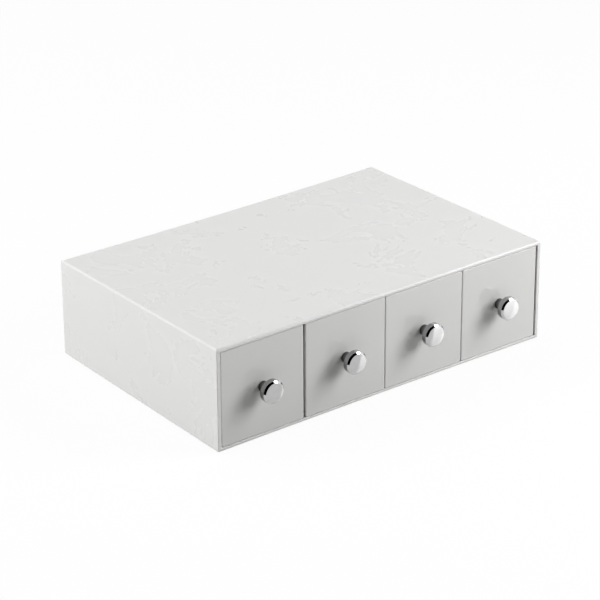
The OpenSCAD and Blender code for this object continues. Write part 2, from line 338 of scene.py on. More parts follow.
# Colour of the painted shade on the knobs' head side and neck, where the head shades the panel it
# mirrors.
CHROME_PAINTED_SHADE_COLOUR = (0.11, 0.11, 0.112)
STEEL_COLOUR = (0.56, 0.57, 0.59)
STEEL_WORN_COLOUR = (0.72, 0.73, 0.74)
RUBBER_COLOUR = (0.035, 0.035, 0.037)
RUBBER_DUST_COLOUR = (0.11, 0.11, 0.108)

# Roughness where a surface is clean, and where it is smeared most.
DIVIDER_ROUGHNESS = (0.42, 0.52)
CHROME_ROUGHNESS = (0.03, 0.08)
STEEL_ROUGHNESS = (0.26, 0.4)
RUBBER_ROUGHNESS = (0.62, 0.8)

PLASTIC_IOR = 1.5
SHRINK_WAVE_DEPTH = 0.00003
# Share of the lighter colour at edges and dust; on the drawers it paints a highlight along the edges.
WEAR_AND_HIGHLIGHT_TINT = 0.5
SMEAR_DULLING = 0.06
DUST_DULLING = 0.2
RUB_DULLING = 0.08
RUBBER_DUST_SHARE = 0.4

# Distances out from the drawer front between which painted shade darkens the knobs' plating: first at
# the edge from the bevel to the head's side, then down the neck. Each takes it half of the way.
HEAD_SIDE_FROM = 11.5 * MM
HEAD_SIDE_TO = 11.2 * MM
NECK_FOOT_FROM = 5.5 * MM
NECK_FOOT_TO = 1.5 * MM
PAINTED_SHADE_STEP = 0.5


def start_material(name):
    """An empty material with a Principled shader, and the place that its patterns read."""
    material = bpy.data.materials.new(name)
    material.use_nodes = True
    tree = material.node_tree
    tree.nodes.clear()
    shader = put(tree, "BsdfPrincipled")
    output = put(tree, "OutputMaterial")
    tree.links.new(shader.outputs["BSDF"], output.inputs["Surface"])
    return material, tree, shader, put(tree, "TexCoord").outputs["Object"]


def blend_colour(tree, share, first, second):
    """A colour between two, by a value from 0 to 1. The first may also be a socket."""
    if not isinstance(first, bpy.types.NodeSocket):
        first = (*first, 1.0)
    mixed = put(tree, "Mix", {"Factor": share, "A": first, "B": (*second, 1.0)}, data_type="RGBA")
    return next(out for out in mixed.outputs if out.type == "RGBA")


def polished_plastic(name, colour, lighter_colour, roughness):
    """Polished moulded plastic: shrink waves and peel in the gloss, smears, dust, and edges lighter in
    colour: rubbed on the case, and on the drawers a painted highlight along every edge.
    """
    material, tree, shader, place = start_material(name)
    flow = use(tree, effects["moulded_flow"], {"Place": place})
    marks = use(tree, effects["handling"], {"Place": place})
    edge_mask = use(tree, effects["edge_mask_group"], {"Place": place})
    # Edges and dust take the lighter colour: wear on the case, and on the drawers also a painted
    # highlight along the edges.
    wear_and_highlight = maths(tree, "ADD", edge_mask["Mask"], marks["Dust"], clamp=True)
    tint = maths(tree, "MULTIPLY", wear_and_highlight, WEAR_AND_HIGHLIGHT_TINT)
    tree.links.new(blend_colour(tree, tint, colour, lighter_colour), shader.inputs["Base Color"])
    dull = maths(tree, "MULTIPLY", marks["Smear"], SMEAR_DULLING)
    dull = maths(tree, "ADD", dull, maths(tree, "MULTIPLY", marks["Dust"], DUST_DULLING))
    dull = maths(tree, "ADD", dull, maths(tree, "MULTIPLY", edge_mask["Mask"], RUB_DULLING))
    tree.links.new(maths(tree, "ADD", dull, roughness), shader.inputs["Roughness"])
    bump = put(tree, "Bump", {
        "Height": flow["Height"], "Strength": 1.0, "Distance": SHRINK_WAVE_DEPTH,
    })
    tree.links.new(bump.outputs["Normal"], shader.inputs["Normal"])
    shader.inputs["IOR"].default_value = PLASTIC_IOR
    return material


def satin_plastic(name, colour, lighter_colour):
    """Satin moulded plastic with an even fine grain, lighter where drawers rub past it."""
    material, tree, shader, place = start_material(name)
    grain = use(tree, effects["fine_grain"], {"Place": place, "Grain Size": 0.0005})
    marks = use(tree, effects["handling"], {"Place": place, "Smear Size": 0.025})
    edge_mask = use(tree, effects["edge_mask_group"], {"Place": place, "Reach": 0.0008})
    tree.links.new(blend_colour(tree, edge_mask["Mask"], colour, lighter_colour), shader.inputs["Base Color"])
    roughness = spread(tree, marks["Smear"], (0.0, 1.0), DIVIDER_ROUGHNESS)
    tree.links.new(roughness, shader.inputs["Roughness"])
    bump = put(tree, "Bump", {"Height": grain["Height"], "Strength": 0.5, "Distance": 0.00002})
    tree.links.new(bump.outputs["Normal"], shader.inputs["Normal"])
    return material


def polished_chrome(name):
    """Bright chrome plate: almost a mirror, with faint finger haze and polishing waves. Its colour
    carries
    painted shade: darker on the head's side and the neck, and darkest at the neck's foot under the
    head."""
    material, tree, shader, place = start_material(name)
    marks = use(tree, effects["handling"], {
        "Place": place, "Smear Size": 0.006, "Speck Size": 0.0006,
    })
    flow = use(tree, effects["moulded_flow"], {
        "Place": place, "Wave Length": 0.006, "Peel Length": 0.0012,
    })
    haze = blend_colour(tree, marks["Smear"], CHROME_COLOUR, CHROME_HAZE_COLOUR)
    panel_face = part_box("knob_1")[1][1]
    depth = put(tree, "SeparateXYZ", {"Vector": place}).outputs["Y"]
    # Painted shade: darker on the head's side, then down the neck towards its foot.
    head_side_shade = spread(tree, depth, (panel_face - HEAD_SIDE_FROM, panel_face - HEAD_SIDE_TO),
                       (0.0, PAINTED_SHADE_STEP))
    neck_foot_shade = spread(tree, depth, (panel_face - NECK_FOOT_FROM, panel_face - NECK_FOOT_TO),
                       (0.0, PAINTED_SHADE_STEP))
    painted_shade = maths(tree, "ADD", head_side_shade, neck_foot_shade)
    colour = blend_colour(tree, painted_shade, haze, CHROME_PAINTED_SHADE_COLOUR)
    tree.links.new(colour, shader.inputs["Base Color"])
    shader.inputs["Metallic"].default_value = 1.0
    roughness = spread(tree, marks["Smear"], (0.0, 1.0), CHROME_ROUGHNESS)
    tree.links.new(roughness, shader.inputs["Roughness"])
    bump = put(tree, "Bump", {"Height": flow["Height"], "Strength": 1.0, "Distance": 0.000004})
    tree.links.new(bump.outputs["Normal"], shader.inputs["Normal"])
    return material


def plated_steel(name):
    """Zinc-plated steel: a soft grey sheen with a fine grain, brighter on its edges."""
    material, tree, shader, place = start_material(name)
    grain = use(tree, effects["fine_grain"], {"Place": place, "Grain Size": 0.0002})
    edge_mask = use(tree, effects["edge_mask_group"], {"Place": place, "Reach": 0.0003, "Breakup Size": 0.001})
    marks = use(tree, effects["handling"], {
        "Place": place, "Smear Size": 0.003, "Speck Size": 0.0005,
    })
    colour = blend_colour(tree, edge_mask["Mask"], STEEL_COLOUR, STEEL_WORN_COLOUR)
    tree.links.new(colour, shader.inputs["Base Color"])
    shader.inputs["Metallic"].default_value = 1.0
    roughness = spread(tree, marks["Smear"], (0.0, 1.0), STEEL_ROUGHNESS)
    tree.links.new(roughness, shader.inputs["Roughness"])
    bump = put(tree, "Bump", {"Height": grain["Height"], "Strength": 0.6, "Distance": 0.00001})
    tree.links.new(bump.outputs["Normal"], shader.inputs["Normal"])
    return material


def matt_rubber(name):
    """Dark grey rubber with a fine grain, greyer where dust has settled."""
    material, tree, shader, place = start_material(name)
    grain = use(tree, effects["fine_grain"], {"Place": place, "Grain Size": 0.0003})
    marks = use(tree, effects["handling"], {
        "Place": place, "Smear Size": 0.004, "Speck Size": 0.0007,
    })
    dust = maths(tree, "MULTIPLY", marks["Smear"], RUBBER_DUST_SHARE)
    colour = blend_colour(tree, dust, RUBBER_COLOUR, RUBBER_DUST_COLOUR)
    tree.links.new(colour, shader.inputs["Base Color"])
    roughness = spread(tree, marks["Smear"], (0.0, 1.0), RUBBER_ROUGHNESS)
    tree.links.new(roughness, shader.inputs["Roughness"])
    bump = put(tree, "Bump", {"Height": grain["Height"], "Strength": 0.7, "Distance": 0.00003})
    tree.links.new(bump.outputs["Normal"], shader.inputs["Normal"])
    return material


# ---- floor, backdrop and lights ----

WHITE = (1.0, 1.0, 1.0, 1.0)
BLACK = (0.0, 0.0, 0.0, 1.0)
FLOOR_COLOUR = (0.5, 0.5, 0.495, 1.0)
FLOOR_SHADOW_COLOUR = (0.95, 0.95, 0.95, 1.0)
FLOOR_ROUGHNESS = 0.12
FLOOR_HALF_W = 5.0
FLOOR_SHOWN_WHITE = 0.94
FLOOR_MIRRORED_WHITE = 0.5
AMBIENT = 0.03
FLAG_DISTANCE = 0.099
FLAG_HEIGHT = 1.0
FLAG_HALF_W = 0.75

# name: middle, aimed at, width, height, turned by in degrees, power in watts
SOFTBOXES = {
    "key": ((0.730, -0.762, 0.552), (0.02, -0.10, 0.036), 0.9, 0.45, 42.0, 8.3),
    "side": ((0.825, -0.643, 0.552), (0.02, -0.10, 0.036), 0.3, 0.85, 0.0, 4.6),
    "top": ((0.0, 0.9, 1.5), (0.0, 0.0, 0.03), 1.6, 1.0, 0.0, 8.6),
    "left": ((-1.4, 0.3, 0.6), (-0.1, 0.0, 0.03), 1.2, 1.2, 0.0, 15.2),
    "back": ((-0.9, 1.0, 0.8), (-0.1, 0.0, 0.03), 1.0, 1.0, 0.0, 6.9),
}


def make_softbox(name, middle, aim, width, height, turn, power):
    """A flat rectangular light that faces its aim, turned about that line."""
    lamp = bpy.data.lights.new(name, "AREA")
    lamp.shape = "RECTANGLE"
    lamp.size, lamp.size_y, lamp.energy = width, height, power
    light = bpy.data.objects.new(name, lamp)
    bpy.context.scene.collection.objects.link(light)
    facing = (Vector(aim) - Vector(middle)).to_track_quat("-Z", "Y").to_matrix().to_4x4()
    turned = Matrix.Rotation(math.radians(turn), 4, "Z")
    light.matrix_world = Matrix.Translation(middle) @ facing @ turned
    light.visible_camera = False


def make_world():
    """White to the camera and in reflections, a dim even grey as light."""
    world = bpy.data.worlds.new("backdrop")
    bpy.context.scene.world = world
    world.use_nodes = True
    tree = world.node_tree
    tree.nodes.clear()
    path = put(tree, "LightPath")
    seen = maths(tree, "ADD", path.outputs["Is Camera Ray"], path.outputs["Is Glossy Ray"])
    seen = maths(tree, "ADD", seen, path.outputs["Is Transmission Ray"], clamp=True)
    strength = spread(tree, seen, (0.0, 1.0), (AMBIENT, 1.0))
    backdrop = put(tree, "Background", {"Color": WHITE, "Strength": strength})
    output = put(tree, "OutputWorld")
    tree.links.new(backdrop.outputs["Background"], output.inputs["Surface"])


def make_floor():
    """A pale floor that the camera sees as white with the object's shadow left in it."""
    material = bpy.data.materials.new("floor")
    material.use_nodes = True
    tree = material.node_tree
    tree.nodes.clear()
    path = put(tree, "LightPath")
    real = put(tree, "BsdfPrincipled", {"Base Color": FLOOR_COLOUR, "Roughness": FLOOR_ROUGHNESS})
    shadowed = put(tree, "BsdfDiffuse", {"Color": FLOOR_SHADOW_COLOUR})
    white = put(tree, "Emission", {"Color": WHITE, "Strength": 1.0})
    shown = put(tree, "MixShader", {
        0: FLOOR_SHOWN_WHITE, 1: shadowed.outputs[0], 2: white.outputs[0],
    })
    mirrored = maths(tree, "ADD", path.outputs["Is Glossy Ray"], path.outputs["Is Transmission Ray"])
    mirrored = maths(tree, "MULTIPLY", mirrored, FLOOR_MIRRORED_WHITE)
    seen = maths(tree, "ADD", path.outputs["Is Camera Ray"], mirrored, clamp=True)
    mixed = put(tree, "MixShader", {0: seen, 1: real.outputs[0], 2: shown.outputs[0]})
    output = put(tree, "OutputMaterial")
    tree.links.new(mixed.outputs[0], output.inputs["Surface"])
    half_x, half_y = (FLOOR_HALF_W, 0.0, 0.0), (0.0, FLOOR_HALF_W, 0.0)
    return stage_sheet("floor", (0.0, 0.0, 0.0), half_x, half_y, material)


def make_flag():
    """A black card on the camera's side, seen only in reflections: it darkens the knobs' bevels."""
    material = bpy.data.materials.new("flag")
    material.use_nodes = True
    tree = material.node_tree
    tree.nodes.clear()
    black = put(tree, "Emission", {"Color": BLACK, "Strength": 0.0})
    output = put(tree, "OutputMaterial")
    tree.links.new(black.outputs[0], output.inputs["Surface"])
    towards = np.array([math.sin(CAMERA_AZIMUTH), -math.cos(CAMERA_AZIMUTH), 0.0])
    along = np.array([math.cos(CAMERA_AZIMUTH), math.sin(CAMERA_AZIMUTH), 0.0])
    knob_face = np.array([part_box("knob_1")[0][0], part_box("knob_1")[0][1], 0.0])
    middle = knob_face + towards * FLAG_DISTANCE + np.array([0.0, 0.0, FLAG_HEIGHT / 2])
    flag = stage_sheet("flag", middle, along * FLAG_HALF_W, (0.0, 0.0, FLAG_HEIGHT / 2), material)
    for ray in ("camera", "diffuse", "transmission", "shadow", "volume_scatter"):
        setattr(flag, "visible_" + ray, False)
    return flag


def stage_sheet(name, middle, half_u, half_v, material):
    """A flat four-cornered sheet that is not part of the object."""
    middle, half_u, half_v = (np.array(v, float) for v in (middle, half_u, half_v))
    points = [middle + half_u * u + half_v * v for u, v in ((-1, -1), (1, -1), (1, 1), (-1, 1))]
    mesh = bpy.data.meshes.new(name)
    mesh.from_pydata([tuple(p) for p in points], [], [(0, 1, 2, 3)])
    mesh.materials.append(material)
    sheet = bpy.data.objects.new(name, mesh)
    bpy.context.scene.collection.objects.link(sheet)
    return sheet


# ---- surfaces ----

QUARTER = np.linspace(0.0, math.pi / 2, 9)
CAP_SHARES = np.array([0.12, 0.3, 0.5, 0.7, 0.88])


def signed_volume(vertices, face_sets):
    """Sum over the faces' triangles of a . (b x c) / 6, above zero when the faces point outwards."""
    total = 0.0
    for faces in face_sets:
        for k in range(1, faces.shape[1] - 1):
            a, b, c = vertices[faces[:, 0]], vertices[faces[:, k]], vertices[faces[:, k + 1]]
            total += np.einsum("ij,ij->", a, np.cross(b, c)) / 6.0
    return total


def solid(name, vertices, face_sets):
    """An object from vertices and arrays of faces, turned so that the faces point outwards."""
    if signed_volume(vertices - vertices.mean(axis=0), face_sets) < 0:
        face_sets = [faces[:, ::-1] for faces in face_sets]
    mesh = bpy.data.meshes.new(name)
    faces = [tuple(face) for faces in face_sets for face in faces.tolist()]
    mesh.from_pydata(vertices.tolist(), [], faces)
    mesh.update()
    made = bpy.data.objects.new(name, mesh)
    bpy.context.scene.collection.objects.link(made)
    return made


def skin(name, sections):
    """A closed surface through closed sections, an array (stations, points, 3). Point j of station i
    joins point j + 1 and the same two of station i + 1. The end sections close on their middles."""
    stations, points = sections.shape[:2]
    middles = np.stack([sections[0].mean(axis=0), sections[-1].mean(axis=0)])
    vertices = np.concatenate([sections.reshape(-1, 3), middles])
    row, column = np.meshgrid(np.arange(stations - 1), np.arange(points), indexing="ij")
    after = (column + 1) % points
    quads = np.stack([
        row * points + column,
        row * points + after,
        (row + 1) * points + after,
        (row + 1) * points + column,
    ], axis=-1).reshape(-1, 4)
    here = np.arange(points)
    following = (here + 1) % points
    first = np.stack([np.full(points, stations * points), following, here], axis=-1)
    base = (stations - 1) * points
    last = np.stack([np.full(points, stations * points + 1), base + here, base + following], axis=-1)
    return solid(name, vertices, [quads, first, last])


def capped(sections):
    """Adds smaller copies of the two end sections, shrunk towards their middles, to close them with."""
    def shrunk(section, shares):
        middle = section.mean(axis=0)
        return middle + (section - middle) * shares[:, None, None]

    return np.concatenate([
        shrunk(sections[0], CAP_SHARES), sections, shrunk(sections[-1], CAP_SHARES[::-1]),
    ])


def rounded_sections(half_u, half_v, radius_u, radius_v, corner_steps=8, side_steps=12):
    """Rectangles with a quarter ellipse at each corner, one for each station, as (stations, points, 2).
    A corner is its centre + (ru cos a, rv sin a); a side is straight, in equal steps. Corners run
    anticlockwise from +u +v. radius_u and radius_v have one column, or four, one for each corner."""
    stations = len(half_u)
    radius_u = np.broadcast_to(radius_u, (stations, 4))
    radius_v = np.broadcast_to(radius_v, (stations, 4))
    quarter = np.linspace(0.0, math.pi / 2, corner_steps + 1)
    corners = []
    for k, (sign_u, sign_v) in enumerate(((1, 1), (-1, 1), (-1, -1), (1, -1))):
        angle = quarter + k * math.pi / 2
        ru, rv = radius_u[:, k, None], radius_v[:, k, None]
        u = sign_u * (half_u[:, None] - ru) + ru * np.cos(angle)
        v = sign_v * (half_v[:, None] - rv) + rv * np.sin(angle)
        corners.append(np.stack([u, v], axis=-1))
    share = np.linspace(0.0, 1.0, side_steps + 1)[1:-1, None]
    parts = []
    for k in range(4):
        start, end = corners[k][:, -1:], corners[(k + 1) % 4][:, :1]
        parts += [corners[k], start + (end - start) * share]
    return np.concatenate(parts, axis=1)


def filleted(corners, radii, steps=6):
    """A polyline with an arc of its own radius at each inner corner. At a corner the tangent points lie
    r / tan(half the inner angle) away, and the arc turns round a centre on the corner's bisector."""
    corners = np.array(corners, float)
    line = [corners[:1]]
    for k in range(1, len(corners) - 1):
        to_start = corners[k - 1] - corners[k]
        to_end = corners[k + 1] - corners[k]
        to_start /= np.linalg.norm(to_start)
        to_end /= np.linalg.norm(to_end)
        half = math.acos(np.clip(to_start @ to_end, -1.0, 1.0)) / 2
        if radii[k] <= 0:
            line.append(corners[k:k + 1])
            continue
        bisector = (to_start + to_end) / np.linalg.norm(to_start + to_end)
        centre = corners[k] + bisector * radii[k] / math.sin(half)
        first = corners[k] + to_start * radii[k] / math.tan(half) - centre
        last = corners[k] + to_end * radii[k] / math.tan(half) - centre
        sweep = math.pi - 2 * half
        share = np.linspace(0.0, 1.0, steps + 1)[:, None]
        arc = (np.sin((1 - share) * sweep) * first + np.sin(share * sweep) * last) / math.sin(sweep)
        line.append(centre + arc)
    line.append(corners[-1:])
    return np.concatenate(line)


def lathe(name, profile, middle, turns=96):
    """A profile of (radius, height) turned round an axis through middle that points along -Y:
    x = r cos a, z = r sin a, y = -h."""
    angle = np.linspace(0.0, 2 * math.pi, turns, endpoint=False)
    radius, height = profile[:, 0, None], profile[:, 1, None]
    sections = np.stack([
        middle[0] + radius * np.cos(angle),
        middle[1] - height + 0 * angle,
        middle[2] + radius * np.sin(angle),
    ], axis=-1)
    return skin(name, sections)


def upright_lathe(name, profile, middle, turns=72):
    """The same round an axis that points along +Z: x = r cos a, y = r sin a, z = h."""
    angle = np.linspace(0.0, 2 * math.pi, turns, endpoint=False)
    radius, height = profile[:, 0, None], profile[:, 1, None]
    sections = np.stack([
        middle[0] + radius * np.cos(angle),
        middle[1] + radius * np.sin(angle),
        middle[2] + height + 0 * angle,
    ], axis=-1)
    return skin(name, sections)


def block(low, high, shape=lambda points: points):
    """A box, its corners moved by a function, used only to cut or to add to another solid."""
    low, high = np.array(low, float), np.array(high, float)
    sign = np.array([(x, y, z) for x in (0, 1) for y in (0, 1) for z in (0, 1)], float)
    faces = np.array([
        (0, 1, 3, 2), (4, 6, 7, 5), (0, 4, 5, 1), (2, 3, 7, 6), (0, 2, 6, 4), (1, 5, 7, 3),
    ])
    return solid("tool", shape(low + (high - low) * sign), [faces])


def combined(made, operation, tools):
    """made with the tools added or cut away, each tool then removed."""
    for tool in tools:
        step = made.modifiers.new("combine", "BOOLEAN")
        step.operation, step.solver, step.object = operation, "EXACT", tool
    bpy.context.view_layer.update()
    result = bpy.data.meshes.new_from_object(made.evaluated_get(bpy.context.evaluated_depsgraph_get()))
    made.modifiers.clear()
    made.data = result
    for tool in tools:
        bpy.data.objects.remove(tool)
    return made


def finish_piece(made, name, material, body, slot, *nodes, sharp=35.0):
    """Names a piece, smooths it between its sharp edges, hands it to its body and hides the nodes it
    stands for. slot is not used.
    """
    made.name = made.data.name = name
    made.data.materials.clear()
    made.data.materials.append(material)
    made.data.shade_smooth()
    made.data.set_sharp_from_angle(angle=math.radians(sharp))
    even = made.modifiers.new("even_normals", "WEIGHTED_NORMAL")
    even.keep_sharp = True
    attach(made, body)
    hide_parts(*nodes)
    return made


# ---- case ----


def depth_share(y):
    """0 at the case's front, 1 at its back."""
    return (y - CASE_FRONT) / (CASE_BACK - CASE_FRONT)


def fallen(points, low_z=FLOOR_Z, high_z=CEILING_Z):
    """Points lowered by the top's fall at their depth, the less the nearer they are to the floor."""
    height = np.clip((points[..., 2] - low_z) / (high_z - low_z), 0.0, 1.0)
    down = TOP_FALL * depth_share(points[..., 1]) * height
    return points - down[..., None] * np.array([0.0, 0.0, 1.0])


def leant(points, middle_x, half_x):
    """Points moved inwards by the sides' lean at their depth, the less the nearer to a middle."""
    away = np.clip((points[..., 0] - middle_x) / half_x, -1.0, 1.0)
    inwards = SIDE_LEAN * depth_share(points[..., 1]) * away
    return points - inwards[..., None] * np.array([1.0, 0.0, 0.0])


def warped(points):
    """Points of the case's outside with the moulding's warp: the top sags along its back edge, and the
    underside is a little hollow. Both fade as 1 - u * u from the middle plane to the sides."""
    across = (points[..., 0] - CASE_MIDDLE[0]) / (CASE_HIGH[0] - CASE_MIDDLE[0])
    share = np.clip(1.0 - across ** 2, 0.0, 1.0)
    height = (points[..., 2] - CASE_LOW[2]) / (CASE_HIGH[2] - CASE_LOW[2])
    sag = TOP_SAG * depth_share(points[..., 1]) * np.clip(height * 2 - 1, 0.0, 1.0)
    bow = UNDERSIDE_BOW * np.clip(1 - height * 2, 0.0, 1.0)
    return points + ((bow - sag) * share)[..., None] * np.array([0.0, 0.0, 1.0])


def case_stations():
    """The case's path from the middle of its inner back, along the hollow, round the rim and back along
    the outside, as if nothing leant: one row a station of (y, lag at the sides, lag at top and bottom,
    half width, half height, corner radius, 1 on the outside). A lag moves a part of the section in y,
    so that the upright edges of rim and back can have another radius than their level ones."""
    outer = np.array([CASE_HIGH[0] - CASE_LOW[0], CASE_HIGH[2] - CASE_LOW[2]]) / 2
    inner = outer - CASE_WALL

    def rows(y, inset_from, half, radius, outside, lag_side=0.0, lag_level=0.0):
        inset_from = np.broadcast_to(inset_from, (len(y), 2))
        columns = [y, lag_side + 0 * y, lag_level + 0 * y, half[0] - inset_from[:, 0],
                   half[1] - inset_from[:, 1], radius + 0 * y, outside + 0 * y]
        return np.stack(columns, axis=1)

    sine, cosine = np.sin(QUARTER), np.cos(QUARTER)
    inner_fillet = rows(
        INNER_BACK - INNER_BACK_R * (1 - cosine), (INNER_BACK_R * (1 - sine))[:, None], inner,
        INNER_CORNER_R, 0)
    hollow = rows(
        np.linspace(INNER_BACK - INNER_BACK_R, CASE_FRONT + MOUTH_EDGE_R, 14)[1:-1], 0.0, inner,
        INNER_CORNER_R, 0)
    mouth = rows(
        CASE_FRONT + MOUTH_EDGE_R * (1 - sine), (-MOUTH_EDGE_R * (1 - cosine))[:, None], inner,
        INNER_CORNER_R, 0)
    rim_inset = np.stack([RIM_SIDE_EDGE_R * (1 - sine), RIM_EDGE_R * (1 - sine)], axis=1)
    rim = rows(
        CASE_FRONT + RIM_EDGE_R * (1 - cosine), rim_inset, outer,
        np.maximum(CASE_EDGE_R - RIM_EDGE_R * (1 - sine), LEAST_R), 1,
        (RIM_SIDE_EDGE_R - RIM_EDGE_R) * (1 - cosine))
    outside = rows(
        np.linspace(CASE_FRONT + RIM_EDGE_R, CASE_BACK - BACK_EDGE_R, 16)[1:-1], 0.0, outer,
        CASE_EDGE_R, 1)
    back_inset = np.stack([BACK_CORNER_R * (1 - cosine), BACK_EDGE_R * (1 - cosine)], axis=1)
    back = rows(
        CASE_BACK + 0 * QUARTER, back_inset, outer, np.maximum(CASE_EDGE_R * cosine, LEAST_R), 1,
        -BACK_CORNER_R * (1 - sine), -BACK_EDGE_R * (1 - sine))
    return np.concatenate([inner_fillet, hollow, mouth, rim, outside, back])


def case_sections():
    """Sections across Y: rounded rectangles in X and Z at the stations' places, then leant and fallen,
    and on the outside warped."""
    y, lag_side, lag_level, half_x, half_z, radius, outside = case_stations().T
    outline = rounded_sections(half_x, half_z, radius[:, None], radius[:, None], side_steps=24)
    turn = rounded_sections(np.ones(1), np.ones(1), np.ones((1, 1)), np.ones((1, 1)), side_steps=24)[0]
    sideways = np.clip(turn[:, 0] ** 2, 0.0, 1.0)
    depth = y[:, None] + lag_side[:, None] * sideways + lag_level[:, None] * (1 - sideways)
    sections = np.stack([
        CASE_MIDDLE[0] + outline[..., 0], depth, CASE_MIDDLE[2] + outline[..., 1],
    ], axis=-1)
    outer = outside > 0
    sections[outer] = warped(sections[outer])
    return fallen(leant(sections, CASE_MIDDLE[0], half_x.min()))


def make_case():
    """The moulded shell with its grooves, foot recesses, runners and catches."""
    shell = skin("case", capped(case_sections()))
    cuts = [divider_groove(k) for k in DIVIDERS] + [foot_recess(corner) for corner in CORNERS]
    combined(shell, "DIFFERENCE", cuts)
    divider_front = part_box("divider_1")[0][1]
    tray_back_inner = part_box("drawer_tray_1")[1][1] - TRAY_WALL
    catch_back = tray_back_inner - STOP_PLAY - frame["joints"][0]["range_m"][1]
    catch_low = CEILING_Z - TOP_FALL * depth_share(catch_back) - CATCH_DROP
    added = []
    sunk = 0.2 * MM
    for x in cell_middles():
        for side in (-1, 1):
            left = x + side * RUNNER_SPACING / 2 - RUNNER_W / 2
            added.append(block((left, divider_front, FLOOR_Z - sunk),
                               (left + RUNNER_W, INNER_BACK + sunk, FLOOR_Z + RUNNER_H)))
        added.append(block((x - CATCH_W / 2, catch_back - CATCH_T, catch_low),
                           (x + CATCH_W / 2, catch_back, CEILING_Z + sunk)))
    combined(shell, "UNION", added)
    finish_piece(shell, "case_moulding", materials["case"], "case", "case_gloss", "case_shell")


def divider_box(k):
    """A divider's box as if the top did not fall."""
    low, high = (np.array(corner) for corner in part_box(f"divider_{k}"))
    high[2] += TOP_FALL * depth_share(low[1])
    return low, high


def divider_groove(k):
    """The cutter of the groove round a divider."""
    low, high = divider_box(k)
    low, high = low - GROOVE_PLAY, high + GROOVE_PLAY
    return block(low, high, lambda points: fallen(points, low[2], high[2]))


def cell_middles():
    """X of the middle of each drawer's cell, from the dividers' places."""
    first = sum(corner[0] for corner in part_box("divider_1")) / 2
    second = sum(corner[0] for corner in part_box("divider_2")) / 2
    pitch = second - first
    return [first + pitch * (k - 0.5) for k in range(len(DRAWERS))]


def foot_recess(corner):
    """The cutter of a foot's recess in the underside."""
    low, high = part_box(f"foot_{corner}")
    radius = (high.x - low.x) / 2 + FOOT_PLAY
    top = CASE_LOW[2] + FOOT_SUNK
    profile = np.array([(radius, -CUT_OVER), (radius, top)])
    return upright_lathe("tool", profile, ((low.x + high.x) / 2, (low.y + high.y) / 2, 0.0))


def make_divider(k):
    """An upright panel with a rounded front edge: the section in X and Z narrows over its nose."""
    low, high = divider_box(k)
    middle = (low + high) / 2
    half = (high - low) / 2
    nose = DIVIDER_NOSE_SHARE * half[0]
    heel = DIVIDER_HEEL_R
    y = np.concatenate([
        low[1] + nose * (1 - np.cos(QUARTER)),
        np.linspace(low[1] + nose, high[1] - heel, 12)[1:-1],
        high[1] - heel * (1 - np.sin(QUARTER)),
    ])
    straight = np.zeros(len(y) - 2 * len(QUARTER))
    inset = np.concatenate([
        nose * (1 - np.sin(QUARTER)), straight, heel * (1 - np.cos(QUARTER)),
    ])
    radius = np.full((len(y), 1), DIVIDER_CORNER_R)
    outline = rounded_sections(half[0] - inset, half[2] - np.minimum(inset, heel), radius, radius)
    sections = np.stack([
        middle[0] + outline[..., 0], y[:, None] + 0 * outline[..., 0], middle[2] + outline[..., 1],
    ], axis=-1)
    made = skin("divider", fallen(capped(sections), low[2], high[2]))
    finish_piece(made, f"divider_{k}_panel", materials["divider"], "case", "divider_plastic",
                 f"divider_{k}")


def make_foot(corner):
    """A round rubber pad with softened edges, turned from its profile."""
    low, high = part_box(f"foot_{corner}")
    radius = (high.x - low.x) / 2
    height = high.z
    profile = filleted(
        [(LEAST_R, 0.0), (radius, 0.0), (radius, height), (LEAST_R, height)],
        [0.0, FOOT_LOW_EDGE_R, FOOT_TOP_EDGE_R, 0.0])
    made = upright_lathe("foot", profile, ((low.x + high.x) / 2, (low.y + high.y) / 2, 0.0))
    finish_piece(made, f"foot_{corner}_pad", materials["rubber"], "case", "foot_rubber",
                 f"foot_{corner}", sharp=60.0)


# ---- drawers ----


def rounding(depth, radius):
    """How far a rounded edge lies inside its corner at a depth: r - sqrt(r * r - (r - d) * (r - d))."""
    left = np.clip(radius - depth, 0.0, radius)
    return radius - np.sqrt(radius ** 2 - left ** 2)


def front_panel(low, high):
    """The drawer's front: a flat face, edges rounded at the top and sides and sharper at the bottom,
    and a nearly square back edge. Sections in X and Z at stations along Y."""
    middle = (low + high) / 2
    half = (high - low) / 2
    back = low[1] + FRONT_T
    y = np.concatenate([
        low[1] + FRONT_EDGE_R * (1 - np.cos(QUARTER)),
        back - FRONT_HEEL_R * (1 - np.sin(QUARTER)),
    ])
    heel_inset = rounding(back - y, FRONT_HEEL_R)
    inset = rounding(y - low[1], FRONT_EDGE_R) + heel_inset
    low_inset = rounding(y - low[1], FRONT_LOW_EDGE_R) + heel_inset
    radius = np.maximum(FRONT_CORNER_R - inset, FRONT_LEAST_CORNER_R)[:, None]
    half_h = half[2] - (inset + low_inset) / 2
    outline = rounded_sections(half[0] - inset, half_h, radius, radius, side_steps=24)
    height = middle[2] + ((low_inset - inset) / 2)[:, None] + outline[..., 1]
    sections = np.stack([
        middle[0] + outline[..., 0], y[:, None] + 0 * outline[..., 0], height,
    ], axis=-1)
    return skin("drawer", capped(sections))


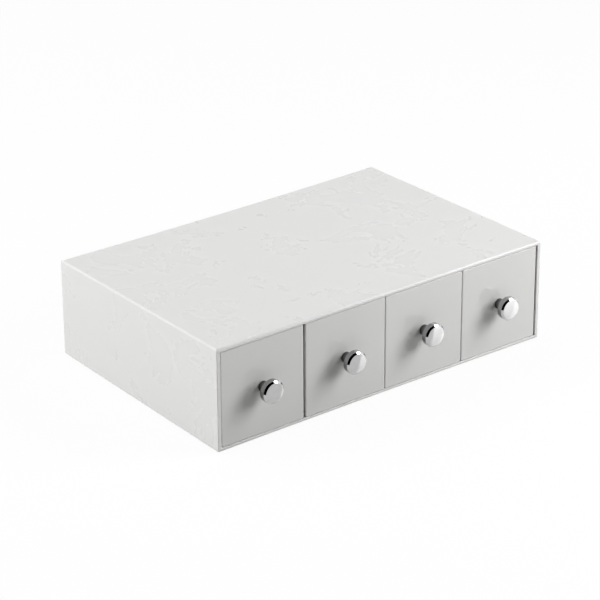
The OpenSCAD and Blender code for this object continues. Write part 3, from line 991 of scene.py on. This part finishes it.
def tray_box(middle_x, front, back, low_z, high_z):
    """The open-topped tray: sections in X and Y along a path in (inset, height) that starts on the
    inner floor, climbs the inner wall, rounds the rim and comes down outside to the underside."""
    half = np.array([TRAY_W / 2, (back - front) / 2])
    floor_top = low_z + TRAY_FLOOR
    path = filleted(
        [
            (TRAY_WALL + TRAY_REACH, floor_top),
            (TRAY_WALL + TRAY_DRAFT, floor_top),
            (TRAY_WALL, high_z),
            (0.0, high_z),
            (TRAY_DRAFT, low_z),
            (TRAY_DRAFT + TRAY_REACH, low_z),
        ],
        [0.0, TRAY_INNER_R, TRAY_RIM_R, TRAY_RIM_R, TRAY_UNDER_R, 0.0], steps=7)
    inset, height = path.T
    plan = np.repeat([TRAY_BACK_CORNER_R, TRAY_FRONT_CORNER_R], 2)
    radius = np.maximum(plan[None, :] - inset[:, None], TRAY_LEAST_CORNER_R)
    outline = rounded_sections(half[0] - inset, half[1] - inset, radius, radius, side_steps=16)
    sections = np.stack([
        middle_x + outline[..., 0],
        (front + back) / 2 + outline[..., 1],
        height[:, None] + 0 * outline[..., 0],
    ], axis=-1)
    return skin("tool", leant(capped(sections), middle_x, TRAY_W / 2 - TRAY_WALL))


def make_drawer(k):
    """One moulding: front panel, tray and stop tab joined, with the knob screw's hole."""
    low, high = (np.array(corner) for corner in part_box(f"drawer_tray_{k}"))
    knob_low, knob_high = (np.array(corner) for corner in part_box(f"knob_{k}"))
    axis = (knob_low + knob_high) / 2
    panel_top = 2 * axis[2] - low[2]
    panel_back = low[1] + FRONT_T
    tray_low = low[2] + TRAY_LIFT
    tray_high = CEILING_Z - TRAY_HEADROOM
    skin_over = 0.1 * MM
    tab_inset = 0.05 * MM
    hole_reach = 5 * MM
    panel = front_panel(low, np.array([high[0], high[1], panel_top]))
    tray = tray_box(axis[0], panel_back - TRAY_WALL + skin_over, high[1], tray_low, tray_high)
    tab_high = CEILING_Z - TOP_FALL * depth_share(high[1]) - TAB_HEADROOM
    tab = block((axis[0] - TAB_W / 2, high[1] - TRAY_WALL + tab_inset, tray_low + 2 * TRAY_FLOOR),
                (axis[0] + TAB_W / 2, high[1] - tab_inset, tab_high))
    combined(panel, "UNION", [tray, tab])
    hole = np.array([(SCREW_HOLE_D / 2, -hole_reach), (SCREW_HOLE_D / 2, hole_reach)])
    drill = lathe("tool", hole, (axis[0], low[1] + FRONT_T / 2, axis[2]), turns=48)
    combined(panel, "DIFFERENCE", [drill])
    finish_piece(panel, f"drawer_{k}_moulding", materials["drawer"], f"drawer_{k}", "drawer_gloss",
                 f"drawer_tray_{k}")


# ---- knobs and fasteners ----


def knob_profile(length, radius):
    """Half section of a knob as (radius, height over the drawer front), from the bottom of its screw
    bore, down the bore, over base, neck, head and bevel, to the crowned face."""
    face_r = radius - KNOB_BEVEL
    face_h = length - KNOB_CROWN_R + math.sqrt(KNOB_CROWN_R ** 2 - face_r ** 2)
    neck = length - KNOB_HEAD_T
    shape = filleted(
        [
            (LEAST_R, KNOB_BORE_L),
            (KNOB_BORE_D / 2, KNOB_BORE_L),
            (KNOB_BORE_D / 2, 0.0),
            (KNOB_NECK_D / 2, 0.0),
            (KNOB_NECK_D / 2, neck),
            (radius, neck),
            (radius, face_h - KNOB_BEVEL),
            (face_r, face_h),
            (face_r - KNOB_CROWN_INSET, face_h + KNOB_CROWN_RISE),
        ],
        [0.0, KNOB_BORE_END_R, KNOB_BORE_MOUTH_R, KNOB_FOOT_R, KNOB_NECK_R, KNOB_HEAD_BACK_R,
         KNOB_BEVEL_EDGE_R, KNOB_BEVEL_EDGE_R, 0.0])
    r = np.linspace(face_r - KNOB_CROWN_INSET, AXIS_R, 24)
    crown = np.stack([r, length - KNOB_CROWN_R + np.sqrt(KNOB_CROWN_R ** 2 - r ** 2)], axis=1)
    return np.concatenate([shape[:-1], crown])


def make_knob(k):
    """A turned and plated knob."""
    low, high = (np.array(corner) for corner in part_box(f"knob_{k}"))
    axis = (low + high) / 2
    made = lathe("knob", knob_profile(high[1] - low[1], (high[0] - low[0]) / 2),
                 (axis[0], high[1], axis[2]), turns=160)
    finish_piece(made, f"knob_{k}_plated", materials["chrome"], f"drawer_{k}", "knob_chrome",
                 f"knob_{k}", sharp=80.0)


def cross_cutter(middle):
    """The cutter of the cross recess: a plus-shaped outline that tapers towards its bottom."""
    a, b = RECESS_SPAN / 2, RECESS_W / 2
    plus = np.array([
        (a, b), (b, b), (b, a), (-b, a), (-b, b), (-a, b),
        (-a, -b), (-b, -b), (-b, -a), (b, -a), (b, -b), (a, -b),
    ])
    depth = np.array([-CUT_OVER, RECESS_DEPTH])
    size = np.array([1.0, RECESS_TAPER])
    sections = np.stack([
        middle[0] + size[:, None] * plus[:, 0],
        middle[1] - depth[:, None] + 0 * plus[:, 0],
        middle[2] + size[:, None] * plus[:, 1],
    ], axis=-1)
    return skin("tool", sections)


def make_screw(k):
    """A pan-head screw: domed head with a cross recess, plain shank with a chamfered tip."""
    low, high = (np.array(corner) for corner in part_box(f"knob_screw_{k}"))
    axis = (low + high) / 2
    length = high[1] - low[1]
    radius = (high[0] - low[0]) / 2
    r = np.linspace(AXIS_R, radius - SCREW_DOME_INSET, 16)
    dome = np.stack([r, SCREW_DOME_R - np.sqrt(SCREW_DOME_R ** 2 - r ** 2)], axis=1)
    rest = filleted(
        [
            (radius, dome[-1, 1]),
            (radius, SCREW_HEAD_T),
            (SCREW_D / 2, SCREW_HEAD_T),
            (SCREW_D / 2, length - SCREW_TIP_CHAMFER),
            (SCREW_D / 2 - SCREW_TIP_CHAMFER, length),
            (AXIS_R, length),
        ],
        [0.0, SCREW_HEAD_EDGE_R, SCREW_NECK_R, 0.0, 0.0, 0.0], steps=5)
    head_top = (axis[0], high[1], axis[2])
    made = lathe("screw", np.concatenate([dome, rest]), head_top, turns=64)
    combined(made, "DIFFERENCE", [cross_cutter(head_top)])
    finish_piece(made, f"knob_screw_{k}_plated", materials["steel"], f"drawer_{k}", "fastener_steel",
                 f"knob_screw_{k}")


def make_washer(k):
    """A punched flat washer: a ring of rectangular section with slightly rolled edges."""
    low, high = (np.array(corner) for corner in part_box(f"knob_washer_{k}"))
    axis = (low + high) / 2
    outer, inner, thick = (high[0] - low[0]) / 2, SCREW_HOLE_D / 2, high[1] - low[1]
    corners = [
        (inner, thick / 2), (inner, 0.0), (outer, 0.0),
        (outer, thick), (inner, thick), (inner, thick / 2),
    ]
    profile = filleted(corners, [0.0, *[WASHER_EDGE_R] * 4, 0.0], steps=4)[:-1]
    made = ring_of(profile, (axis[0], high[1], axis[2]))
    finish_piece(made, f"knob_washer_{k}_plated", materials["steel"], f"drawer_{k}", "fastener_steel",
                 f"knob_washer_{k}")


def ring_of(profile, middle, turns=64):
    """A closed profile of (radius, height) turned right round an axis along -Y, joined to itself."""
    angle = np.linspace(0.0, 2 * math.pi, turns, endpoint=False)[:, None]
    radius, height = profile[:, 0], profile[:, 1]
    vertices = np.stack([
        middle[0] + radius * np.cos(angle),
        middle[1] - height + 0 * angle,
        middle[2] + radius * np.sin(angle),
    ], axis=-1).reshape(-1, 3)
    points = len(profile)
    row, column = np.meshgrid(np.arange(turns), np.arange(points), indexing="ij")
    next_row, next_column = (row + 1) % turns, (column + 1) % points
    quads = np.stack([
        row * points + column,
        row * points + next_column,
        next_row * points + next_column,
        next_row * points + column,
    ], axis=-1).reshape(-1, 4)
    return solid("ring", vertices, [quads])


# ---- the scene ----

effects = {
    "moulded_flow": make_moulded_flow(),
    "handling": make_handling(),
    "edge_mask_group": make_edge_mask_group(),
    "fine_grain": make_fine_grain(),
}
materials = {
    "case": polished_plastic("case_plastic", CASE_COLOUR, CASE_WORN_COLOUR, CASE_ROUGHNESS),
    "drawer": polished_plastic("drawer_plastic", DRAWER_COLOUR, DRAWER_WEAR_AND_HIGHLIGHT_COLOUR, DRAWER_ROUGHNESS),
    "divider": satin_plastic("divider_plastic", DIVIDER_COLOUR, DIVIDER_WORN_COLOUR),
    "chrome": polished_chrome("knob_chrome"),
    "steel": plated_steel("fastener_steel"),
    "rubber": matt_rubber("foot_rubber"),
}

make_camera()
make_world()
make_floor()
make_flag()
for softbox, values in SOFTBOXES.items():
    make_softbox(softbox, *values)

make_case()
for number in DIVIDERS:
    make_divider(number)
for corner_name in CORNERS:
    make_foot(corner_name)
for number in DRAWERS:
    make_drawer(number)
    make_knob(number)
    make_screw(number)
    make_washer(number)

bpy.context.scene.view_settings.view_transform = "Standard"
